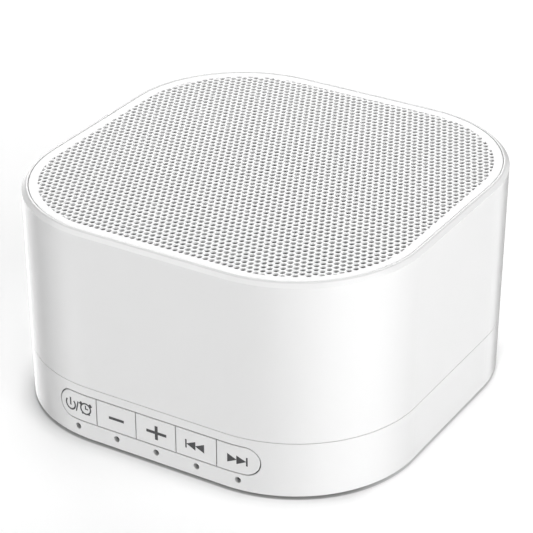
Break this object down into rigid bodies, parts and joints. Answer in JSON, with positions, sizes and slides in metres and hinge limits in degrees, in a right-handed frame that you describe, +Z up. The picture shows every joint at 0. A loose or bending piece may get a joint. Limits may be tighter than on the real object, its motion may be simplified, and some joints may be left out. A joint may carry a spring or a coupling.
{
  "type": "white noise sound machine",
  "caption": "Rounded square white sound machine with a perforated metal top over an upward speaker, a row of flush front keys and indicator holes below them.",
  "frame": {"origin": "on the surface that it stands on, under the middle of the four feet", "axes": "+Z up, -Y the front with the keys, +X to the right seen from the front"},
  "size_m": [0.1014, 0.1014, 0.0558],
  "materials": {
    "white_shell": "fine matt, moulded",
    "white_metal": "matt powder coat, perforated sheet",
    "black_cloth": "open weave",
    "steel_screw": "zinc plated",
    "green_board": "glass fibre board",
    "clear_guide": "clear plastic",
    "led_white": "lamp body",
    "socket_plastic": "natural nylon",
    "ribbon_white": "flat cable",
    "chip_black": "moulded",
    "can_metal": "drawn can",
    "switch_plunger": "moulded",
    "inlet_steel": "nickel plated",
    "gasket_foam": "closed-cell foam",
    "basket_steel": "black coat",
    "surround_rubber": "soft",
    "cone_paper": "pressed pulp",
    "coil_copper": "enamelled wire",
    "spider_cloth": "resin-stiffened cloth",
    "plate_steel": "zinc plated",
    "magnet_ferrite": "sintered ferrite",
    "terminal_fibre": "fibre strip",
    "terminal_brass": "tinned",
    "lead_vinyl": "vinyl insulation",
    "foot_rubber": "matt"
  },
  "bodies": {
    "housing": {"upper_housing": "white_shell", "base_housing": "white_shell", "speaker_grille": "white_metal", "dust_cloth": "black_cloth", "housing_screws": "steel_screw", "board_screws": "steel_screw", "speaker_screws": "steel_screw", "key_board": "green_board", "main_board": "green_board", "light_guide": "clear_guide", "indicator_leds": "led_white", "key_ribbon_socket": "socket_plastic", "main_ribbon_socket": "socket_plastic", "speaker_header": "socket_plastic", "ribbon_cable": "ribbon_white", "sound_chip": "chip_black", "amplifier_chip": "chip_black", "inductor": "chip_black", "headphone_jack": "chip_black", "power_timer_switch": "chip_black", "volume_down_switch": "chip_black", "volume_up_switch": "chip_black", "previous_switch": "chip_black", "next_switch": "chip_black", "capacitors": "can_metal", "crystal": "can_metal", "usb_c_inlet": "inlet_steel", "speaker_gasket": "gasket_foam", "speaker_frame": "basket_steel", "speaker_surround": "surround_rubber", "speaker_spider": "spider_cloth", "speaker_top_plate": "plate_steel", "speaker_yoke": "plate_steel", "speaker_magnet": "magnet_ferrite", "terminal_strip": "terminal_fibre", "terminal_tabs": "terminal_brass", "speaker_leads": "lead_vinyl", "foot_front_left": "foot_rubber", "foot_rear_left": "foot_rubber", "foot_front_right": "foot_rubber", "foot_rear_right": "foot_rubber"},
    "power_timer_button": {"power_timer_key": "white_shell", "power_timer_plunger": "switch_plunger"},
    "volume_down_button": {"volume_down_key": "white_shell", "volume_down_plunger": "switch_plunger"},
    "volume_up_button": {"volume_up_key": "white_shell", "volume_up_plunger": "switch_plunger"},
    "previous_button": {"previous_key": "white_shell", "previous_plunger": "switch_plunger"},
    "next_button": {"next_key": "white_shell", "next_plunger": "switch_plunger"},
    "cone_assembly": {"speaker_cone": "cone_paper", "dust_cap": "cone_paper", "voice_coil": "coil_copper"}
  },
  "joints": [
    {"name": "power_timer_press", "type": "slide", "parent": "housing", "child": "power_timer_button", "axis": [0, 1, 0], "range_m": [0, 0.0004], "stiffness_N_per_m": 2500},
    {"name": "volume_down_press", "type": "slide", "parent": "housing", "child": "volume_down_button", "axis": [0, 1, 0], "range_m": [0, 0.0004], "stiffness_N_per_m": 2500},
    {"name": "volume_up_press", "type": "slide", "parent": "housing", "child": "volume_up_button", "axis": [0, 1, 0], "range_m": [0, 0.0004], "stiffness_N_per_m": 2500},
    {"name": "previous_press", "type": "slide", "parent": "housing", "child": "previous_button", "axis": [0, 1, 0], "range_m": [0, 0.0004], "stiffness_N_per_m": 2500},
    {"name": "next_press", "type": "slide", "parent": "housing", "child": "next_button", "axis": [0, 1, 0], "range_m": [0, 0.0004], "stiffness_N_per_m": 2500},
    {"name": "cone_stroke", "type": "slide", "parent": "housing", "child": "cone_assembly", "axis": [0, 0, 1], "range_m": [-0.0012, 0.0012], "stiffness_N_per_m": 1500, "deforming": ["speaker_surround", "speaker_spider"]}
  ]
}
